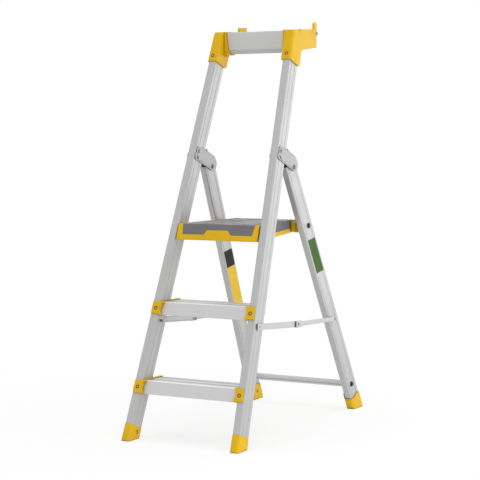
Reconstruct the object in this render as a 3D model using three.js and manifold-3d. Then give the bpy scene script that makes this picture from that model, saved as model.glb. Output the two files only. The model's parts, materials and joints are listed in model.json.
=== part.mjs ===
// Folding platform step ladder: an aluminium front frame with two steps and a hand rail, a rear frame
// that swings in on two plated hinges, a platform that tips up between the stiles, and a folding spreader
// on each side.
// Millimetres. +X is across, +Y to the rear and +Z up; the origin is on the floor under the ladder's middle.
import * as THREE from "three";
import { mergeVertices } from "three/addons/utils/BufferGeometryUtils.js";
import Module from "manifold-3d";

const wasm = await Module();
wasm.setup();

// ---------------------------------------------------------------- driving dimensions
const clearance = 0.3; // between pieces that seat on each other
const runningGap = 0.8; // between a moving piece and its neighbour

// The stance. "Up" runs along the stiles from the floor, "back" runs square to them from their front faces.
const frontLean = 21.25; // degrees
const rearLean = 25.83; // degrees
const stileSplay = 2.6; // degrees, closing in towards the top
const legSplay = 2.8; // degrees
const baseWidth = 430.6; // over the stiles' outer faces at the floor
const hingeUp = 986;
const hingeReach = 63; // from the stile's rear face back to the hinge axis

const stile = { width: 27.3, depth: 62, front: 0, corner: 5, wall: 1.7, grooves: [17, 42] };
const leg = { width: 22.5, depth: 67.5, front: -40.5, corner: 4, wall: 1.7, grooves: [10.5, 49.5] };
const legInset = 3; // from the stiles' outer faces in to the legs' at the hinges
const groove = { width: 2, depth: 0.5 };

const foot = { frontWall: 2, rearWall: 3.5, sole: 8, corner: 9, frontHeight: 55, rearHeight: 58, bevel: 5 };
const scoop = { height: 39, start: 0, end: 45, radius: 30 }; // in the rear feet's outer sides

const step = { depth: 97.6, fascia: 41.6, rearWeb: 30, tread: 3, wall: 2.4, lip: 11, nose: 4, setBack: 8.4 };
const tread = { ribs: 9, margin: 12, grooveShare: 0.4, grooveDepth: 1 };
const stepHeights = { lower: 188.5, middle: 436 };
const stepBracket = { front: 5, side: 3, cover: 2.5, overlap: 8, outerMargin: 4, short: 5 };
const bracketNotch = { edge: 36, inner: 31.3, below: 20, foot: 38.6 };

// The rail and its brackets' arms stand upright but for a slight tilt; "back" and "up" here follow that tilt.
const headTilt = 3.1; // degrees
const rail = {
  height: 74.5,
  depth: 38,
  corner: 4,
  wall: 2.2,
  bevelBack: 12,
  bevelUp: 14.5,
  top: 1428.8,
  setBack: 5.9,
};
const railBracket = { wall: 4.3, rearWall: 8, cap: 2.2, bottom: 1321, elbow: 12, corner: 9, shoulder: 8.5 };
const railSocket = { front: 3.4, rear: 3.4, under: 4, innerTop: 41.2, flare: 6.6 };
const arm = { reach: 190, low: 67.6, endLow: 60.6, rake: 11, thickness: 7, turn: 5 };
const prongs = {
  right: { front: 163, rear: 190.5, height: 23.4, rake: 1, radius: 9 },
  left: { front: 142, rear: 189, height: 13.9, rake: 1, radius: 2 },
};
const screwSeat = {
  radius: 6.5,
  depth: 1.6,
  bracketInset: 13.3,
  bracketUp: 1343,
  stepInset: 18.5,
  stepBelow: 20,
};

const platform = {
  height: 690,
  frontHeight: 53,
  rearHeight: 38,
  sideGap: 0.7,
  frontEdge: -40.2, // from the pin's axis, at the top
  pinDrop: 20,
  pinBack: 44.6,
};
const pin = { radius: 5, depth: 8 };
const ear = { rear: 22, thickness: 6 };
const deck = { height: 34, rearHeight: 25, top: 5, skirt: 4 };
const tray = {
  wall: 5,
  rearWall: 6,
  floor: 4,
  upright: 16,
  slant: 6,
  tongueTop: 79,
  tongueBase: 103,
  tongue: 15,
  rib: 9,
  rows: 4,
  columns: 3,
};

const hingePlate = { thickness: 2.3, raised: 0.7, raisedShare: 0.86, below: 12, above: 39, rearReach: 24 };
const pivot = { radius: 4, headRadius: 7, head: 2.5, bushRadius: 6 };
const rivet = { radius: 3, headRadius: 5, head: 2 };
const hingeRivets = { upper: [22.7, 20.4], lower: [24, -1.5] }; // back from the stile's front, up from the axis

const frontLink = { height: 20, depth: 3.8, wall: 1.4, nose: 13.5, tail: 12, block: 22 };
const rearLink = { height: 15, depth: 3.8, wall: 1.4, nose: 12 };
const knuckle = { height: 22.5, front: 17, rear: 25 };
const spreader = {
  frontBack: 28,
  belowStep: 55.5,
  midBack: 281.4,
  midUp: 488.4,
  legDown: 586.8,
  legFront: -12.3,
};

const brace = { down: 865, front: -7, height: 18, depth: 16, crease: 2, creaseHalf: 1.6, wall: 1.6 };
const rest = { drop: 17, front: -2.4, radius: 8, length: 32, margin: 8, overhang: 34.8 };
const bolt = { radius: 4, headRadius: 9, head: 4 };
const spreaderBolt = { radius: 3, headRadius: 4, head: 8 };
const hook = { inner: 2.5, width: 18, above: 13, below: 25, front: 21, rear: 24, flare: 18 };

// ---------------------------------------------------------------- worked-out places
const rad = THREE.MathUtils.degToRad;
const lean = rad(frontLean);
const legLean = rad(rearLean);
const opening = lean + legLean; // angle between the open frames
const hingeBack = stile.depth + hingeReach;
const farOut = baseWidth; // past everything on one side

// Height and distance behind the front line of a point on the stile's side.
function onStile(back, up) {
  return {
    y: back * Math.cos(lean) + up * Math.sin(lean),
    z: up * Math.cos(lean) - back * Math.sin(lean),
  };
}
const hingeFromFront = onStile(hingeBack, hingeUp);
const legRear = leg.front + leg.depth;
const heelLine =
  hingeFromFront.y + hingeFromFront.z * Math.tan(legLean) + (legRear + foot.rearWall) / Math.cos(legLean);
const toeLine = -foot.frontWall / Math.cos(lean);
const bevelledOff = (tilt) => (foot.bevel * Math.tan(tilt)) / (1 + Math.tan(tilt));
const footprintMiddle = (heelLine - bevelledOff(legLean) + toeLine + bevelledOff(lean)) / 2;
const frontLine = -footprintMiddle; // puts the middle of the ladder at y = 0
const hinge = { y: frontLine + hingeFromFront.y, z: hingeFromFront.z };

// The splayed faces: half widths at a distance up the stiles, or down the legs from the hinge axis.
const faceHalf = (up, inset = 0) =>
  baseWidth / 2 - inset / Math.cos(rad(stileSplay)) - up * Math.tan(rad(stileSplay));
const legTopHalf = faceHalf(hingeUp) - legInset;
const legFaceHalf = (down, inset = 0) =>
  legTopHalf - inset / Math.cos(rad(legSplay)) + down * Math.tan(rad(legSplay));

const frontPlace = new THREE.Matrix4().makeTranslation(0, frontLine, 0);
frontPlace.multiply(new THREE.Matrix4().makeRotationX(-lean));
const rearPlace = new THREE.Matrix4().makeTranslation(0, hinge.y, hinge.z);
rearPlace.multiply(new THREE.Matrix4().makeRotationX(legLean));

// ---------------------------------------------------------------- materials
const aluminium = new THREE.MeshStandardMaterial({ color: 0xc9cacb, roughness: 0.38, metalness: 0.9 });
const ribbedAluminium = new THREE.MeshStandardMaterial({ color: 0xd4d5d6, roughness: 0.34, metalness: 0.9 });
const zinc = new THREE.MeshStandardMaterial({ color: 0xb9babc, roughness: 0.32, metalness: 1 });
const yellow = new THREE.MeshStandardMaterial({ color: 0xf0b81e, roughness: 0.5, metalness: 0 });
const grey = new THREE.MeshStandardMaterial({ color: 0x77747c, roughness: 0.75, metalness: 0 });
const black = new THREE.MeshStandardMaterial({ color: 0x17171a, roughness: 0.55, metalness: 0 });

// ---------------------------------------------------------------- shapes
// A closed outline from corners [x, y, radius], each rounded corner drawn as an arc, in anticlockwise order.
function outline(corners, steps = 3) {
  const points = corners.flatMap(([x, y, radius = 0], i) => {
    const corner = new THREE.Vector2(x, y);
    if (!radius) return [corner];
    const before = corners.at(i - 1);
    const after = corners[(i + 1) % corners.length];
    const a = new THREE.Vector2(before[0], before[1]).sub(corner).normalize();
    const b = new THREE.Vector2(after[0], after[1]).sub(corner).normalize();
    const half = Math.acos(a.dot(b)) / 2;
    const centre = a.clone().add(b).setLength(radius / Math.sin(half)).add(corner);
    const start = corner.clone().addScaledVector(a, radius / Math.tan(half));
    const sweep = -Math.sign(a.cross(b)) * (Math.PI - 2 * half);
    return Array.from({ length: steps + 1 }, (_, k) =>
      start.clone().rotateAround(centre, (sweep * k) / steps),
    );
  });
  return THREE.ShapeUtils.isClockWise(points) ? points.reverse() : points;
}

const rectangle = (x0, y0, x1, y1, radius = 0) => [
  [x0, y0, radius],
  [x1, y0, radius],
  [x1, y1, radius],
  [x0, y1, radius],
];

// A prism of an outline in x and y, standing along z.
function prism(points, from, to, holes = []) {
  const shape = new THREE.Shape(points);
  shape.holes = holes.map((hole) => new THREE.Path(hole));
  const geometry = new THREE.ExtrudeGeometry(shape, { depth: to - from, bevelEnabled: false, steps: 1 });
  return geometry.translate(0, 0, from);
}

const [xAxis, yAxis, zAxis] = [[1, 0, 0], [0, 1, 0], [0, 0, 1]].map((v) => new THREE.Vector3(...v));
const layAcross = new THREE.Matrix4().makeBasis(yAxis, zAxis, xAxis);
const layBack = new THREE.Matrix4().makeBasis(zAxis, xAxis, yAxis);

// A prism of an outline in y and z, lying along x.
const acrossPrism = (points, from, to, holes) => prism(points, from, to, holes).applyMatrix4(layAcross);

// A prism of an outline in z and x, lying along y.
const backPrism = (points, from, to) => prism(points, from, to).applyMatrix4(layBack);

function rod(radius, from, to, y, z, sides = 12) {
  const geometry = new THREE.CylinderGeometry(radius, radius, to - from, sides);
  return geometry.rotateZ(Math.PI / 2).translate((from + to) / 2, y, z);
}

// A turned piece on an axis along x, from [x, radius] stations.
function turned(stations, y, z, sides = 12) {
  const ends = [[stations[0][0], 0], ...stations, [stations.at(-1)[0], 0]];
  const profile = ends.map(([x, radius]) => new THREE.Vector2(radius, x));
  return new THREE.LatheGeometry(profile, sides).rotateZ(-Math.PI / 2).translate(0, y, z);
}

// A rivet or bolt with a domed head at each end of its shank.
function headed(from, to, y, z, { radius, headRadius, head }) {
  const dome = headRadius * 0.75;
  return turned(
    [
      [from - head, dome],
      [from - head / 2, headRadius],
      [from, headRadius],
      [from, radius],
      [to, radius],
      [to, headRadius],
      [to + head / 2, headRadius],
      [to + head, dome],
    ],
    y,
    z,
  );
}

// ---------------------------------------------------------------- solids
function solid(item) {
  if (!item.isBufferGeometry) return item;
  const bare = item.clone();
  bare.deleteAttribute("normal");
  bare.deleteAttribute("uv");
  const merged = mergeVertices(bare, 1e-4);
  const corners = merged.index.array;
  const triVerts = [];
  for (let i = 0; i < corners.length; i += 3) {
    const [a, b, c] = corners.subarray(i, i + 3);
    if (a !== b && b !== c && c !== a) triVerts.push(a, b, c);
  }
  return new wasm.Manifold(
    new wasm.Mesh({
      numProp: 3,
      vertProperties: merged.attributes.position.array,
      triVerts: new Uint32Array(triVerts),
    }),
  );
}

const join = (first, ...others) => others.reduce((sum, item) => sum.add(solid(item)), solid(first));
const cut = (first, ...tools) => tools.reduce((rest, tool) => rest.subtract(solid(tool)), solid(first));
const common = (first, second) => solid(first).intersect(solid(second));

function surface(item) {
  const mesh = solid(item).getMesh();
  const geometry = new THREE.BufferGeometry();
  geometry.setAttribute("position", new THREE.BufferAttribute(new Float32Array(mesh.vertProperties), 3));
  geometry.setIndex(new THREE.BufferAttribute(new Uint32Array(mesh.triVerts), 1));
  const faceted = geometry.toNonIndexed();
  faceted.computeVertexNormals();
  return faceted;
}

// ---------------------------------------------------------------- the assembly
const ladder = new THREE.Group();
const frontFrame = new THREE.Group();
frontFrame.applyMatrix4(frontPlace);
const rearFrame = new THREE.Group();
rearFrame.applyMatrix4(rearPlace);
ladder.add(frontFrame, rearFrame);

function placePiece(group, name, shape, material) {
  const mesh = new THREE.Mesh(surface(shape), material);
  mesh.name = name;
  group.add(mesh);
}

// The right-hand piece and its mirror image on the left.
function placePair(group, name, shape, material) {
  placePiece(group, `${name}_right`, shape, material);
  const mirror = new THREE.Group();
  mirror.scale.x = -1;
  group.add(mirror);
  placePiece(mirror, `${name}_left`, shape, material);
}

// ---------------------------------------------------------------- stiles and legs
// The section of a tube whose outer side is at x = 0 and whose front face is at y = front.
function section({ width, depth, front, corner }, grow = 0) {
  return rectangle(-width - grow, front - grow, grow, front + depth + grow, corner + grow);
}

// The same section with its shallow grooves along both sides.
function groovedSection(tube) {
  const [frontInner, frontOuter, rearOuter, rearInner] = section(tube);
  const notch = (x, inwards) => (at) => {
    const y = tube.front + at;
    const half = groove.width / 2;
    return [
      [x, y - half],
      [x + inwards * groove.depth, y - half],
      [x + inwards * groove.depth, y + half],
      [x, y + half],
    ];
  };
  const outer = tube.grooves.flatMap(notch(0, -1));
  const inner = tube.grooves.flatMap(notch(-tube.width, 1)).reverse();
  return [frontInner, frontOuter, ...outer, rearOuter, rearInner, ...inner];
}

function tubeBetween(tube, from, to) {
  const bore = outline(section(tube, -tube.wall), 1);
  return prism(outline(groovedSection(tube)), from, to, [bore]);
}

const envelope = (tube, from, to, grow) => prism(outline(section(tube, grow)), from, to);

// Moves a piece made upright at x = 0 to the right-hand stile or leg.
const ontoStile = (geometry) => geometry.rotateY(-rad(stileSplay)).translate(faceHalf(0), 0, 0);
const ontoLeg = (geometry) => geometry.rotateY(-rad(legSplay)).translate(legTopHalf, 0, 0);

// Everything further out than a plane this far inside the outer face of one side's stile or leg.
function beyond(side, inset, splay, half) {
  const block = new THREE.BoxGeometry(2 * farOut, 4 * farOut, 8 * farOut);
  block.translate(side * (farOut - inset), 0, 0);
  return block.rotateY(-side * rad(splay)).translate(side * half, 0, 0);
}
const beyondStile = (side, inset) => beyond(side, inset, stileSplay, faceHalf(0));
const beyondLeg = (side, inset) => beyond(side, inset, legSplay, legTopHalf);

const stileFoot = stile.depth * Math.tan(lean) + foot.sole / Math.cos(lean);
const stileTop = rail.top - 5;
const legFoot = (foot.sole - hinge.z - leg.front * Math.sin(legLean)) / Math.cos(legLean);
const legTop = 18;

const platformPin = {
  back: platform.pinBack,
  up: (platform.height - platform.pinDrop + platform.pinBack * Math.sin(lean)) / Math.cos(lean),
};

const hingeRivetHoles = Object.values(hingeRivets).map(([back, up]) =>
  ontoStile(rod(rivet.radius + clearance, -2 * stile.width, stile.width, back, hingeUp + up)),
);
const linkA = { y: spreader.frontBack, z: stepHeights.middle / Math.cos(lean) - spreader.belowStep };
const spreaderHole = rod(spreaderBolt.radius + clearance, 0, farOut, linkA.y, linkA.z);
const pinHole = rod(
  pin.radius + clearance,
  0,
  faceHalf(platformPin.up, stile.width / 2),
  platformPin.back,
  platformPin.up,
);
placePair(
  frontFrame,
  "stile",
  cut(ontoStile(tubeBetween(stile, stileFoot, stileTop)), ...hingeRivetHoles, spreaderHole, pinHole),
  aluminium,
);

const bushHole = rod(pivot.bushRadius + clearance, 0, farOut, 0, 0);
const restDown =
  (hinge.z + rest.front * Math.sin(legLean) - platform.height + rest.drop) / Math.cos(legLean);
const restHole = rod(bolt.radius + clearance, 0, farOut, rest.front, -restDown);
const braceHole = rod(bolt.radius + clearance, 0, farOut, brace.front, -brace.down);
placePair(
  rearFrame,
  "rear_leg",
  cut(ontoLeg(tubeBetween(leg, legFoot, legTop)), bushHole, restHole, braceHole),
  aluminium,
);

// ---------------------------------------------------------------- feet
// A cap moulded round the end of a tube, cut flat on the floor with a bevelled toe and heel.
function footOn(tube, wall, ontoTube, placeTube, tubeEnd, top, toe, heel) {
  const around = outline(section({ ...tube, corner: foot.corner - wall }, wall));
  const shell = ontoTube(prism(around, tubeEnd - tube.depth, top)).applyMatrix4(placeTube);
  const socket = ontoTube(envelope(tube, tubeEnd - clearance, top + 1, clearance));
  const high = 3 * tube.depth;
  const ground = [
    [toe + foot.bevel, 0],
    [heel - foot.bevel, 0],
    [heel - foot.bevel + high, high],
    [toe + foot.bevel - high, high],
  ];
  const standing = common(shell, acrossPrism(outline(ground), 0, farOut));
  return cut(standing, socket.applyMatrix4(placeTube));
}

const frontToe = frontLine + toeLine;
const frontHeel = frontLine + (stile.depth + foot.frontWall) / Math.cos(lean);
const frontFootTop = foot.frontHeight / Math.cos(lean);
placePair(
  ladder,
  "front_foot",
  footOn(stile, foot.frontWall, ontoStile, frontPlace, stileFoot, frontFootTop, frontToe, frontHeel),
  yellow,
);

// The rear feet are level on top, and scooped down to the front but for their inner walls.
const rearHeel = frontLine + heelLine;
const rearToe = rearHeel - (leg.depth + 2 * foot.rearWall) / Math.cos(legLean);
const rearFootTop = (2 * foot.rearHeight - hinge.z) / Math.cos(legLean);
const rearFoot = footOn(leg, foot.rearWall, ontoLeg, rearPlace, legFoot, rearFootTop, rearToe, rearHeel);
const aboveFoot = rectangle(rearToe - leg.depth, foot.rearHeight, rearHeel + leg.depth, 4 * foot.rearHeight);
const scoopSide = [
  [rearToe - leg.depth, scoop.height],
  [rearToe + scoop.start, scoop.height, scoop.radius],
  [rearHeel - scoop.end, foot.rearHeight + 1],
  [rearToe - leg.depth, foot.rearHeight + 1],
];
const outerWalls = beyondLeg(1, leg.width + clearance).applyMatrix4(rearPlace);
placePair(
  ladder,
  "rear_foot",
  cut(
    rearFoot,
    acrossPrism(outline(aboveFoot), 0, farOut),
    common(acrossPrism(outline(scoopSide, 5), 0, farOut), outerWalls),
  ),
  yellow,
);

// ---------------------------------------------------------------- hand rail and its brackets
const nod = lean + rad(headTilt);
const railPlace = new THREE.Matrix4().makeTranslation(0, rail.setBack, rail.top);
railPlace.multiply(new THREE.Matrix4().makeRotationX(nod));

// Where a point back and up from the rail's top front edge lies, in the stiles' back and up.
function fromRail(back, up, radius = 0) {
  return [
    rail.setBack + back * Math.cos(nod) - up * Math.sin(nod),
    rail.top + back * Math.sin(nod) + up * Math.cos(nod),
    radius,
  ];
}

// Where a line level with the rail meets a line along the stile.
function levelOnStile(along, up, radius) {
  const back = (along - rail.setBack + up * Math.sin(nod)) / Math.cos(nod);
  return fromRail(back, up, radius);
}

function railProfile(grow = 0) {
  const low = -rail.height - grow;
  return [
    [-grow, grow, rail.corner],
    [rail.depth + grow, grow, rail.corner],
    [rail.depth + grow, low, rail.corner],
    [rail.bevelBack - grow * 0.3, low],
    [-grow, rail.bevelUp - rail.height - grow * 0.3],
  ];
}
function railTube(outside, inside) {
  const bores = inside ? [outline(inside)] : [];
  return acrossPrism(outline(outside), -farOut / 2, farOut / 2, bores).applyMatrix4(railPlace);
}
const railInset = stile.width + railBracket.wall + 2 * clearance;
placePiece(
  frontFrame,
  "handrail",
  cut(railTube(railProfile(), railProfile(-rail.wall)), beyondStile(1, railInset), beyondStile(-1, railInset)),
  aluminium,
);

const sleeveGrow = railBracket.wall + clearance;
const sleeveRear = stile.depth + railBracket.rearWall + clearance;
const headTop = railBracket.cap;

// The sleeve on the stile with its arm and the arm's upright prong, from the side.
function bracketSide({ front, rear, height, rake, radius }) {
  return [
    [-sleeveGrow, railBracket.bottom, 3],
    [sleeveRear, railBracket.bottom, railBracket.elbow],
    levelOnStile(sleeveRear, -arm.low, railBracket.elbow),
    fromRail(arm.reach - arm.rake, -arm.endLow, 4),
    fromRail(arm.reach, headTop, 1),
    fromRail(rear, headTop, 1),
    fromRail(rear - rake, headTop + height, radius),
    fromRail(front + rake, headTop + height, radius),
    fromRail(front, headTop),
    levelOnStile(-sleeveGrow, headTop, 4),
  ];
}
function bracketPlan() {
  const turn = (back) => sleeveGrow - (back - stile.depth) * Math.tan(rad(arm.turn));
  const end = 2 * arm.reach;
  return [
    [-stile.width - sleeveGrow, -sleeveGrow, 3],
    [sleeveGrow, -sleeveGrow, railBracket.corner],
    [sleeveGrow, stile.depth - 12, 20],
    [turn(end), end],
    [turn(end) - arm.thickness, end],
    [turn(sleeveRear) - arm.thickness, sleeveRear, 3],
    [-stile.width - sleeveGrow, sleeveRear, 3],
  ];
}

// The upright block that holds the rail's end, its inner edge flared towards the bottom.
function railBlock() {
  const inner = faceHalf(rail.top, railSocket.innerTop);
  const low = -rail.height - railSocket.under;
  const front = [
    [headTop, inner, 2],
    [headTop, farOut / 2],
    [low, farOut / 2],
    [low, inner - railSocket.flare, 3],
  ];
  const block = backPrism(outline(front), -railSocket.front, rail.depth + railSocket.rear);
  return cut(block.applyMatrix4(railPlace), beyondStile(1, stile.width - 1));
}

function railBracketOn(side, prong) {
  const plan = prism(outline(bracketPlan(), 5), railBracket.bottom - 1, rail.top + arm.reach);
  const corner = faceHalf(rail.top + headTop) + sleeveGrow;
  const shoulder = [
    [headTop - railBracket.shoulder, corner + 2],
    [headTop + 2, corner - railBracket.shoulder],
    [headTop + 2, corner + stile.width],
    [headTop - railBracket.shoulder, corner + stile.width],
  ];
  const sleeve = common(ontoStile(plan), acrossPrism(outline(bracketSide(prong), 4), 0, farOut));
  const seat = rod(screwSeat.radius, -1, screwSeat.depth, 0, 0, 16).rotateZ(Math.PI / 2);
  seat.translate(-screwSeat.bracketInset, -sleeveGrow, screwSeat.bracketUp);
  const shape = cut(
    join(sleeve, railBlock()),
    ontoStile(envelope(stile, 0, stileTop + clearance, clearance)),
    cut(railTube(railProfile(clearance)), beyondStile(1, railInset - clearance)),
    ontoStile(seat),
    backPrism(outline(shoulder), -stile.depth, rail.depth).applyMatrix4(railPlace),
  );
  const group = new THREE.Group();
  group.scale.x = side;
  frontFrame.add(group);
  placePiece(group, side > 0 ? "handrail_bracket_right" : "handrail_bracket_left", shape, yellow);
}
railBracketOn(1, prongs.right);
railBracketOn(-1, prongs.left);

// ---------------------------------------------------------------- steps and their brackets
const slope = Math.tan(lean);

// The outline round a step, from its front top edge, with its front parallel to the stiles.
function stepHull(grow, front = grow) {
  const lineOut = front / Math.cos(lean);
  return [
    [grow * slope - lineOut, grow, 1 + grow],
    [step.depth + grow, grow, 1 + grow],
    [step.depth + grow, -step.rearWeb - grow, grow],
    [step.depth - step.lip - grow, -step.rearWeb - grow],
    [-step.fascia * slope + step.lip + grow, -step.fascia - grow],
    [(-step.fascia - grow) * slope - lineOut, -step.fascia - grow, grow],
  ];
}

// The extrusion: a ribbed tread with its nose, front fascia, rear web and the lips they end in.
function stepProfile() {
  const pitch = (step.depth - 2 * tread.margin) / tread.ribs;
  const wide = pitch * tread.grooveShare;
  const grooves = Array.from({ length: tread.ribs }, (_, k) => {
    const at = tread.margin + k * pitch + (pitch - wide) / 2;
    return [
      [at, 0],
      [at, -tread.grooveDepth],
      [at + wide, -tread.grooveDepth],
      [at + wide, 0],
    ];
  });
  const inner = step.wall / Math.cos(lean);
  const onFascia = (z, back) => [z * slope + back, z];
  return [
    [0, 0, step.nose],
    ...grooves.flat(),
    [step.depth, 0, 2],
    [step.depth, -step.rearWeb],
    [step.depth - step.lip, -step.rearWeb],
    [step.depth - step.lip, step.wall - step.rearWeb],
    [step.depth - step.wall, step.wall - step.rearWeb],
    [step.depth - step.wall, -step.tread],
    onFascia(-step.tread, inner),
    onFascia(step.wall - step.fascia, inner),
    onFascia(step.wall - step.fascia, step.lip),
    onFascia(-step.fascia, step.lip),
    onFascia(-step.fascia, 0),
  ];
}

const plateInset = stile.width + clearance;
const stepInset = plateInset + stepBracket.side + clearance;
const coverInset = stepInset + stepBracket.overlap;

// The notch in the inner edge of a bracket's front, and the seat of its screw.
function bracketFrontCuts(height) {
  const level = height / Math.cos(lean);
  const apex = level - bracketNotch.below;
  const foot = level - step.fascia / Math.cos(lean) + stepBracket.short;
  const notch = [
    [level - clearance, -bracketNotch.edge],
    [apex, -bracketNotch.inner, 2],
    [foot, -bracketNotch.foot],
    [foot, -2 * bracketNotch.foot],
    [level - clearance, -2 * bracketNotch.foot],
  ];
  const strip = rectangle(foot - 2 * step.lip, -2 * bracketNotch.foot, foot, stile.width);
  const front = [-stile.depth, step.setBack];
  const lipDepth = [-stile.depth, step.setBack + step.lip + 2 * stepBracket.cover];
  const seat = rod(screwSeat.radius, -1, screwSeat.depth, 0, 0, 16).rotateZ(Math.PI / 2);
  seat.translate(-screwSeat.stepInset, -stepBracket.front - clearance, level - screwSeat.stepBelow);
  return [backPrism(outline(notch), ...front), backPrism(outline(strip), ...lipDepth), seat].map((shape) =>
    ontoStile(shape).applyMatrix4(frontPlace),
  );
}

for (const [name, height] of Object.entries(stepHeights)) {
  const y = frontLine + height * slope + step.setBack / Math.cos(lean);
  const across = (corners, from, to) => acrossPrism(outline(corners), from, to).translate(0, y, height);
  const ends = [-1, 1].map((side) => beyondStile(side, stepInset).applyMatrix4(frontPlace));
  const blank = across(stepProfile(), -farOut / 2, farOut / 2);
  placePiece(ladder, `step_${name}`, cut(blank, ...ends), ribbedAluminium);

  const outwards = (inset) => beyondStile(1, inset).applyMatrix4(frontPlace);
  const cheek = across(stepHull(stepBracket.cover, step.setBack + stepBracket.front + clearance), 0, farOut);
  const plate = common(cheek, cut(outwards(coverInset), outwards(stepBracket.outerMargin)));
  const around = envelope(stile, 0, stileTop, clearance);
  const squareTube = { ...stile, front: stile.depth / 2, depth: farOut, corner: 0 };
  const behindStile = envelope(squareTube, 0, stileTop, clearance);
  const slot = cut(across(stepHull(clearance), 0, farOut), outwards(stepInset - clearance));
  placePair(
    ladder,
    `step_bracket_${name}`,
    cut(
      plate,
      ontoStile(around).applyMatrix4(frontPlace),
      ontoStile(behindStile).applyMatrix4(frontPlace),
      slot,
      ...bracketFrontCuts(height),
    ),
    yellow,
  );
}

// ---------------------------------------------------------------- hinges
function hingeSide() {
  const { below, above, rearReach } = hingePlate;
  return [
    [4, -below, 10],
    [4, 5, 3],
    [10, 11, 3],
    [7, 17, 3],
    [8, above - 6, 8],
    [56, above + 1, 6],
    [hingeBack, above, 20],
    [hingeBack + rearReach, above - 16, 16],
    [hingeBack + rearReach, -1, 14],
    [hingeBack + 5, -below, 12],
  ].map(([back, up, radius]) => [back, hingeUp + up, radius]);
}
const pivotBore = rod(pivot.radius + clearance, 0, farOut, hingeBack, hingeUp);
const plateFull = hingePlate.thickness + hingePlate.raised;
const plateFaces = {
  outer: [clearance, clearance + plateFull],
  inner: [-stile.width - clearance - plateFull, -stile.width - clearance],
};

// A plate with its middle pressed out from the frame, leaving a lower rim all round.
function pressedPlate([from, to], outwards) {
  const middle = { back: (hingeBack + hingePlate.rearReach) / 2, up: hingeUp + hingePlate.above / 2 };
  const raisedSide = hingeSide().map(([back, up, radius]) => [
    middle.back + (back - middle.back) * hingePlate.raisedShare,
    middle.up + (up - middle.up) * hingePlate.raisedShare,
    radius,
  ]);
  const rim = outwards > 0 ? [from, to - hingePlate.raised] : [from + hingePlate.raised, to];
  const plate = acrossPrism(outline(hingeSide()), ...rim);
  return join(ontoStile(plate), ontoStile(acrossPrism(outline(raisedSide), from, to)));
}
for (const [name, outwards] of Object.entries({ outer: 1, inner: -1 })) {
  const plate = pressedPlate(plateFaces[name], outwards);
  placePair(frontFrame, `hinge_plate_${name}`, cut(plate, ...hingeRivetHoles, pivotBore), zinc);
}
const plateOut = plateFaces.outer[1] + clearance;
const plateIn = plateFaces.inner[0] - clearance;
for (const [name, [back, up]] of Object.entries(hingeRivets)) {
  const piece = ontoStile(headed(plateIn, plateOut, back, hingeUp + up, rivet));
  placePair(frontFrame, `hinge_rivet_${name}`, piece, zinc);
}
const pivotTilt = pivot.headRadius * Math.tan(rad(stileSplay));
placePair(
  frontFrame,
  "hinge_pivot",
  headed(
    faceHalf(hingeUp, -plateIn) - pivotTilt,
    faceHalf(hingeUp, -plateOut) + pivotTilt,
    hingeBack,
    hingeUp,
    pivot,
  ),
  zinc,
);
placePair(
  rearFrame,
  "hinge_bush",
  cut(
    rod(pivot.bushRadius, faceHalf(hingeUp, stile.width - clearance), faceHalf(hingeUp, clearance), 0, 0, 16),
    rod(pivot.radius + clearance, 0, farOut, 0, 0),
  ),
  black,
);

// The cap on a leg's top end is also the stop: its front meets the stile's rear face when the ladder is open.
function capSide() {
  const stop = clearance - hingeReach;
  const seenOpen = (back, up, radius) => {
    const turned = new THREE.Vector2(back, up).rotateAround(new THREE.Vector2(), -opening);
    return [turned.x, turned.y, radius];
  };
  return [
    [leg.front, legTop + clearance],
    seenOpen(stop + 3.7, -12, 3),
    seenOpen(stop, 0, 2),
    seenOpen(stop, 41, 2),
    seenOpen(stop + 6.7, 42.5, 2),
    seenOpen(-10, 36.5, 8),
    [leg.front + leg.depth, legTop + clearance],
  ];
}
const capPlug = prism(outline(section(leg, -leg.wall - clearance), 1), legTop - 11, legTop + 1);
placePair(
  rearFrame,
  "rear_leg_cap",
  join(ontoLeg(acrossPrism(outline(capSide()), 0.8 - leg.width, -0.8)), ontoLeg(capPlug)),
  black,
);

// ---------------------------------------------------------------- platform
const pinPlace = onStile(platformPin.back, platformPin.up);
const platformGroup = new THREE.Group();
platformGroup.position.set(0, frontLine + pinPlace.y, pinPlace.z);
ladder.add(platformGroup);

const top = platform.pinDrop;
const frontEdge = (z) => platform.frontEdge + (z - top) * slope;
const low = top - platform.frontHeight;
const restEnd = legFaceHalf(restDown, leg.width + rest.length); // the inner ends of the rest bolts
const restPlace = new THREE.Vector3(0, rest.front, -restDown).applyMatrix4(rearPlace);
restPlace.sub(platformGroup.position);
const rearEdge = restPlace.y + rest.overhang;
const frontHalf = faceHalf(platformPin.up + Math.hypot(ear.rear, low), stile.width) - platform.sideGap;
const rearHalf = restEnd - rest.margin;
const sideHalf = (y) => {
  const share = (y - ear.rear) / (rearEdge - ear.rear);
  return frontHalf - ear.thickness + share * (rearHalf - frontHalf + ear.thickness);
};
const rearLow = top - platform.rearHeight;
const skirtLow = (y) => {
  const share = (y - ear.rear) / (rearEdge - ear.rear);
  return top - deck.height + share * (deck.height - deck.rearHeight);
};

const bothSides = (corners) => [...corners, ...corners.toReversed().map(([x, y, r]) => [-x, y, r])];
const platformSide = [
  [frontEdge(top), top, 5],
  [rearEdge, top, 5],
  [rearEdge, rearLow, 8],
  [frontEdge(low), low, 3],
];
const platformPlan = bothSides([
  [frontHalf, 2 * frontEdge(low)],
  [frontHalf, ear.rear, 3],
  [sideHalf(ear.rear + 8), ear.rear + 8],
  [rearHalf, rearEdge, 6],
]);
const platformHull = () =>
  common(prism(outline(platformPlan), 2 * low, 2 * top), acrossPrism(outline(platformSide), -farOut, farOut));

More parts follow.
